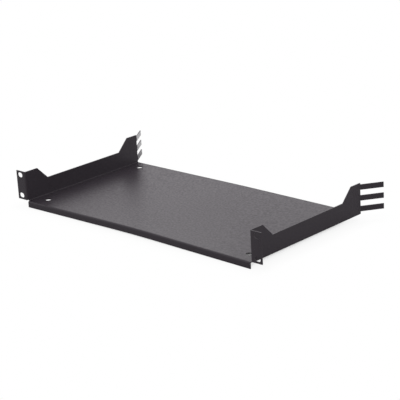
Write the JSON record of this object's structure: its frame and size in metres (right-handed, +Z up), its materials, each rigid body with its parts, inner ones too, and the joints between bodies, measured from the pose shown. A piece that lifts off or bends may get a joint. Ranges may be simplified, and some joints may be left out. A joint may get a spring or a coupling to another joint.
{
  "type": "rack shelf",
  "caption": "Low rack shelf folded from a single steel sheet, with cut-down side walls, slotted ears, a front lip, a slightly cambered tray and splayed cable fingers.",
  "frame": {"origin": "centre of the rack screw slots, on the front face of the ears", "axes": "+X along the rack's width, +Y from the front to the rear, +Z up"},
  "size_m": [0.4854, 0.2623, 0.0547],
  "materials": {
    "powder_coat": "fine-textured black powder coat, satin"
  },
  "bodies": {
    "root": {"shelf_body": "powder_coat"}
  },
  "joints": []
}
